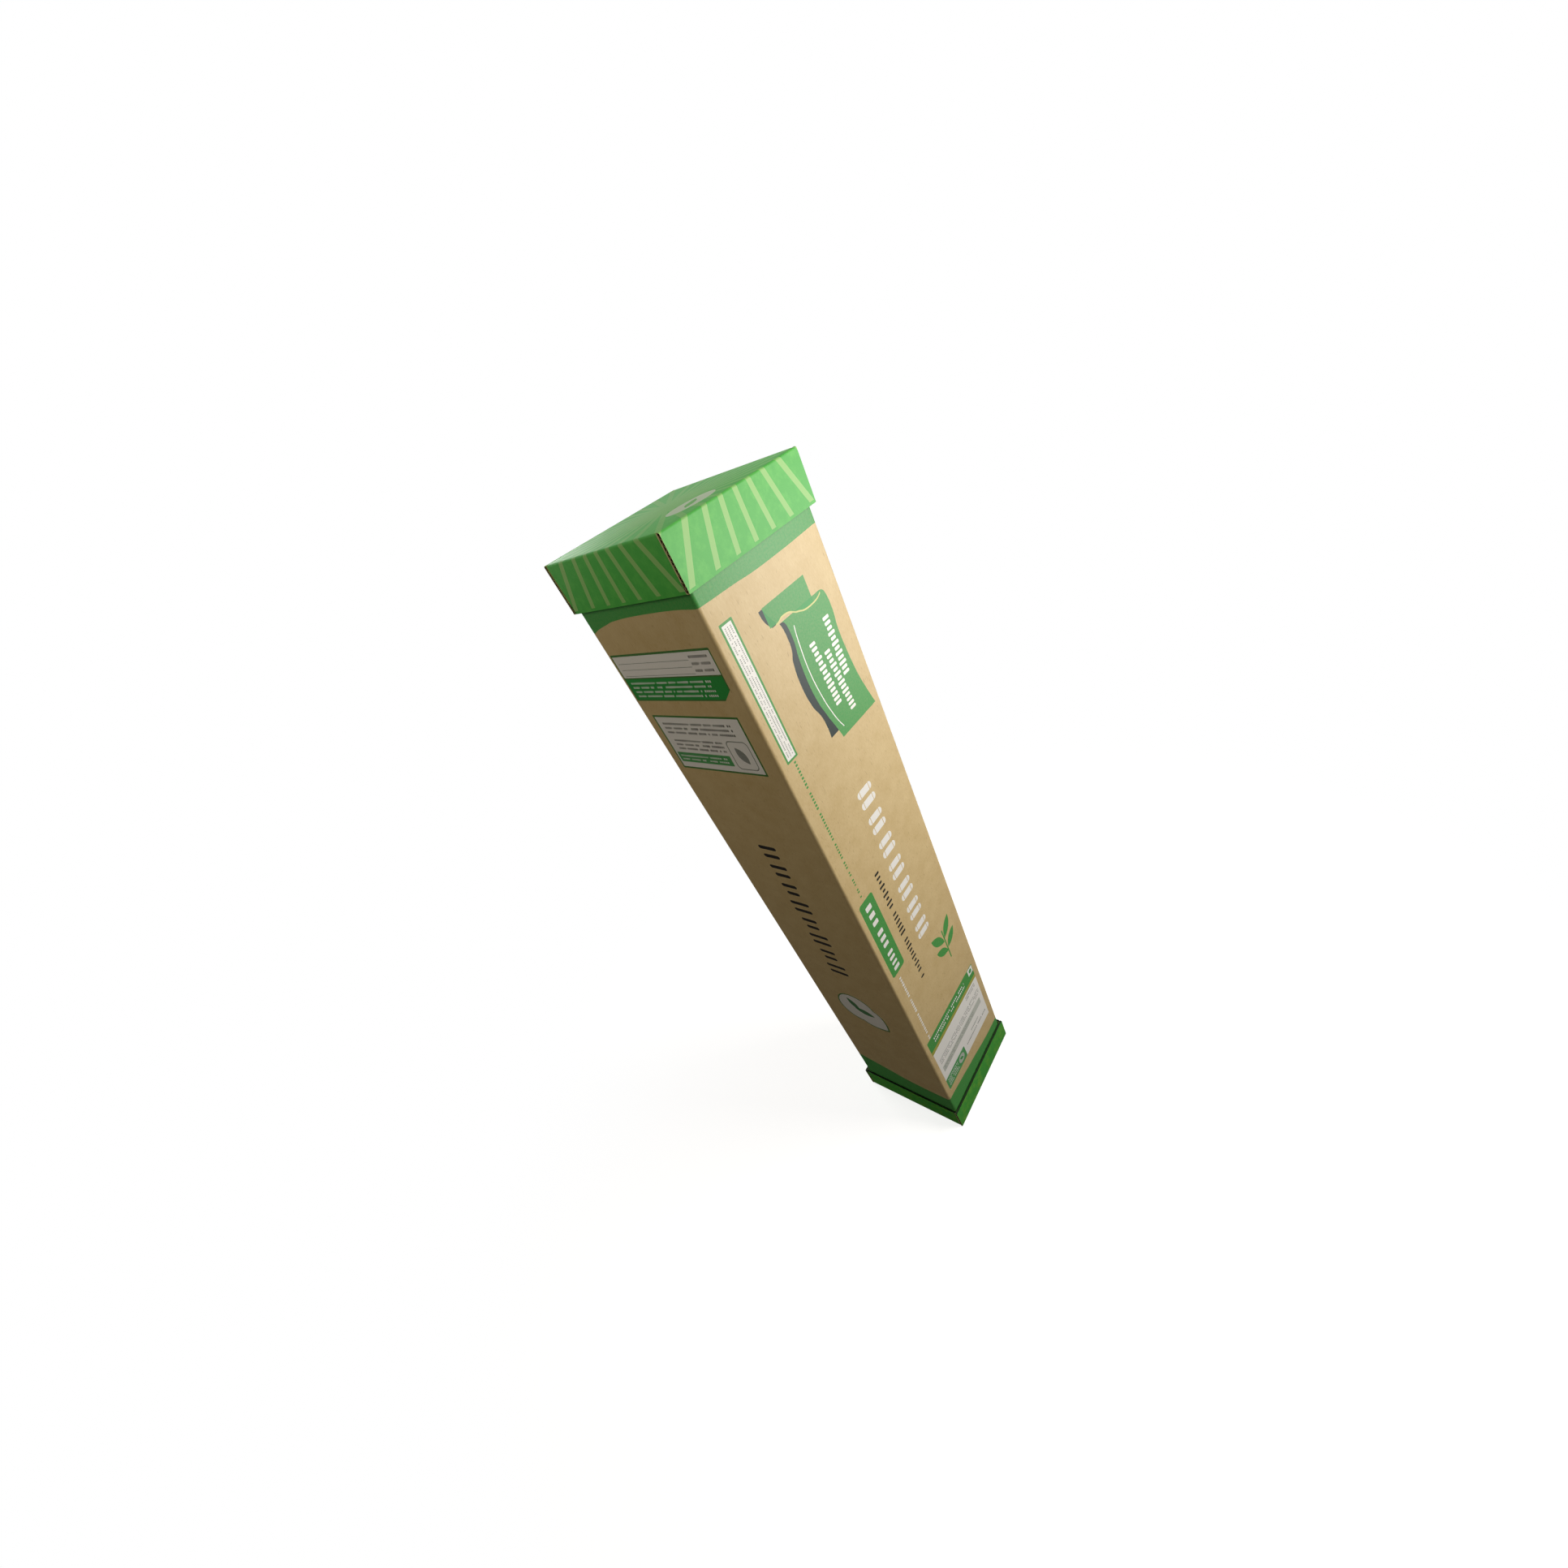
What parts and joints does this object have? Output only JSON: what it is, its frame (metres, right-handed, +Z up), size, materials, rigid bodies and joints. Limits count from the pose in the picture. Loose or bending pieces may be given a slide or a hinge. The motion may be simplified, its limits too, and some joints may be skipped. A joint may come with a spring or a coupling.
{
  "type": "lamp recycling box",
  "caption": "Tall square corrugated carton with a lift-off lid and a glued base tray, lined with a barrier bag and an inner carton that hold used lamp tubes upright.",
  "frame": {"origin": "centre of the footprint, on the floor", "axes": "+Z up, the face with the ribbon and the lamp row is the front at -Y, the face with the address panels is at -X"},
  "size_m": [0.2316, 0.235, 1.247],
  "materials": {
    "printed_kraft_board": "brown kraft liner with flexo print",
    "green_printed_board": "kraft liner flooded with green flexo ink",
    "plain_kraft_board": "unprinted brown kraft liner",
    "foil_laminate_film": "silver foil and plastic laminate",
    "zip_polyethylene": "milky extruded polyethylene"
  },
  "bodies": {
    "carton": {"outer_sleeve": "printed_kraft_board", "base_tray": "green_printed_board", "inner_box": "plain_kraft_board", "barrier_bag": "foil_laminate_film", "zip_rib": "zip_polyethylene", "zip_groove": "zip_polyethylene"},
    "lid": {"lid": "green_printed_board"}
  },
  "joints": [
    {"name": "lid_lift", "type": "slide", "parent": "carton", "child": "lid", "axis": [0, 0, 1], "range_m": [0, 0.12]}
  ]
}
